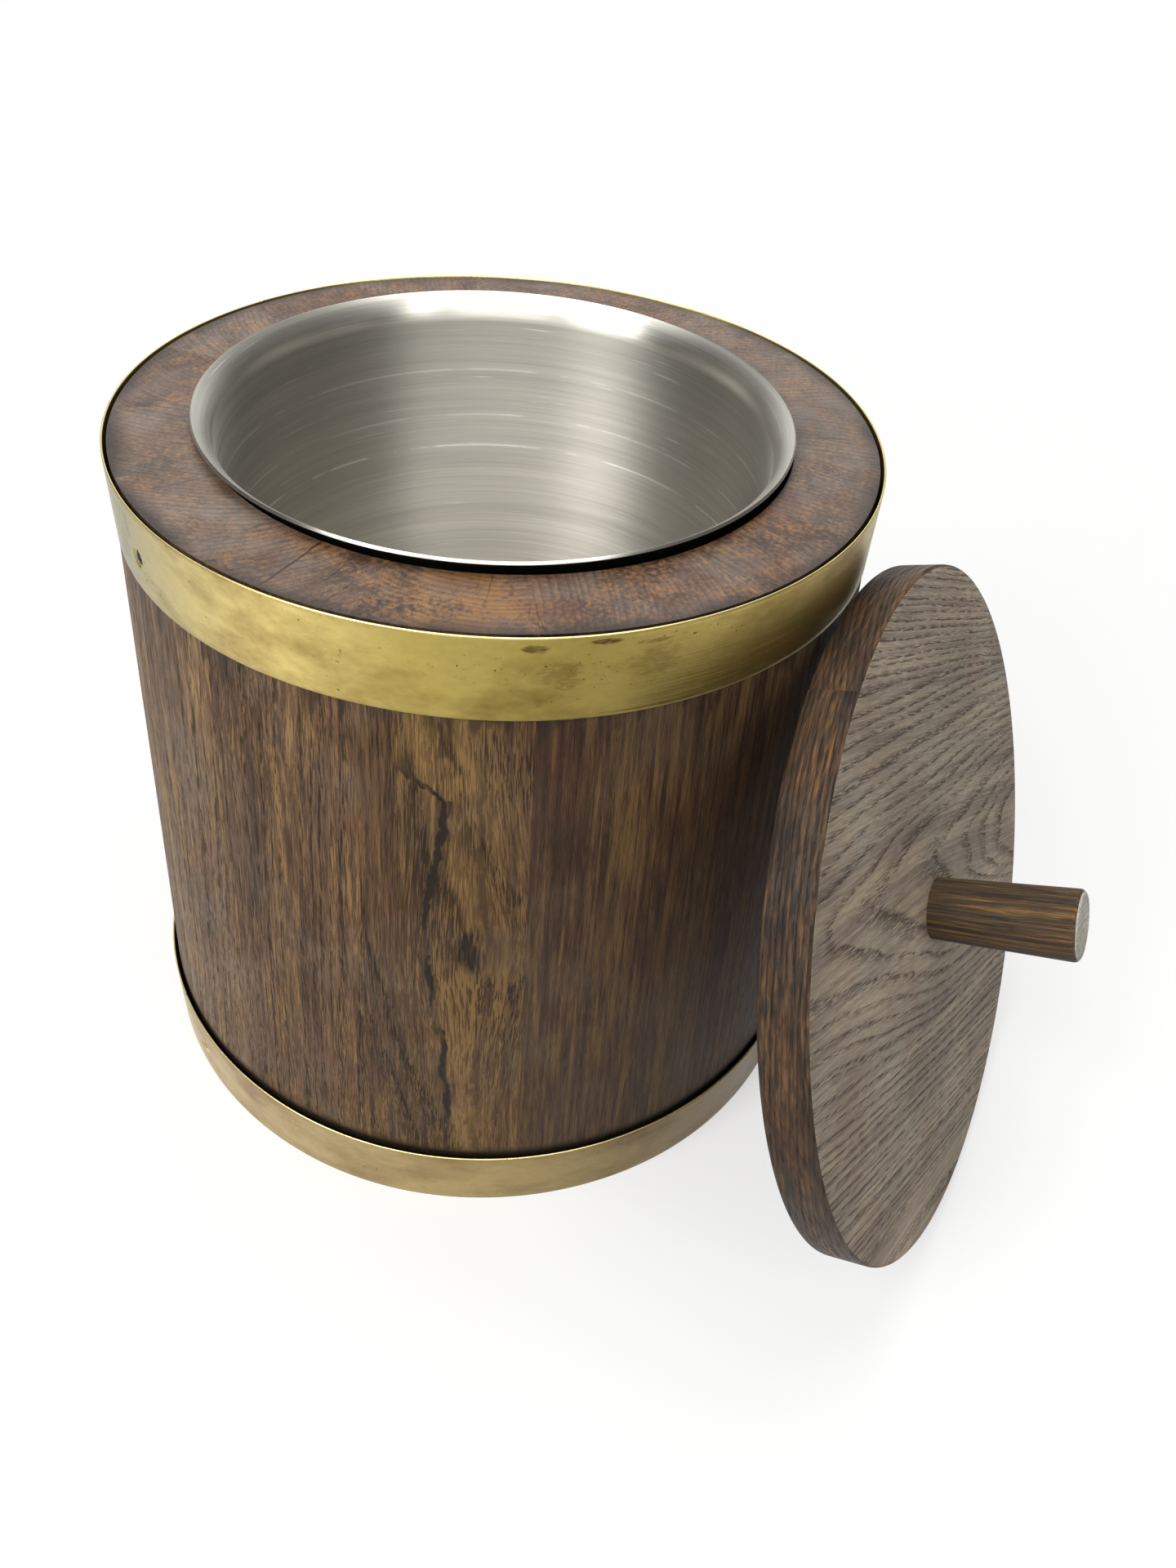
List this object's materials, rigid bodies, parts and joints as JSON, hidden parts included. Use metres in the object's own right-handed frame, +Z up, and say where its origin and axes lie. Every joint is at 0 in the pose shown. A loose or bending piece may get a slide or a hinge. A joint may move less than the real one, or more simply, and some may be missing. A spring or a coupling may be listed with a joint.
{
  "type": "wooden ice bucket",
  "caption": "Coopered wooden ice bucket, wider at the foot, with brass bands, a lift-out brushed steel liner and a flat round lid with a peg handle that leans beside it.",
  "frame": {"origin": "on the floor, at the middle of the base boards' underside", "axes": "+Z up along the bucket's axis, -Y towards the viewer, +X to the viewer's right, where the lid leans"},
  "size_m": [0.2893, 0.2692, 0.2037],
  "materials": {
    "stave_wood": "dark stained open-pored wood, oiled",
    "base_wood": "dark stained open-pored wood, sawn",
    "lid_wood": "grey-brown stained wood, brushed grain",
    "peg_wood": "stained wood, turned",
    "band_brass": "tarnished sheet brass, rubbed",
    "nail_steel": "darkened nail",
    "liner_steel": "brushed round the wall"
  },
  "bodies": {
    "bucket": {"stave_01": "stave_wood", "stave_02": "stave_wood", "stave_03": "stave_wood", "stave_04": "stave_wood", "stave_05": "stave_wood", "stave_06": "stave_wood", "stave_07": "stave_wood", "stave_08": "stave_wood", "stave_09": "stave_wood", "stave_10": "stave_wood", "stave_11": "stave_wood", "stave_12": "stave_wood", "stave_13": "stave_wood", "stave_14": "stave_wood", "stave_15": "stave_wood", "stave_16": "stave_wood", "stave_17": "stave_wood", "base_board_front": "base_wood", "base_board_middle": "base_wood", "base_board_back": "base_wood", "top_band": "band_brass", "bottom_band": "band_brass", "top_band_nails": "nail_steel", "bottom_band_nails": "nail_steel"},
    "liner": {"liner": "liner_steel"},
    "lid": {"lid_board_lower": "lid_wood", "lid_board_middle": "lid_wood", "lid_board_upper": "lid_wood", "lid_peg": "peg_wood"}
  },
  "joints": [
    {"name": "liner_lift", "type": "slide", "parent": "bucket", "child": "liner", "axis": [0, 0, 1], "range_m": [0, 0.19]},
    {"name": "lid_lift", "type": "slide", "parent": "bucket", "child": "lid", "axis": [0, 0, 1], "range_m": [0, 0.21]}
  ]
}
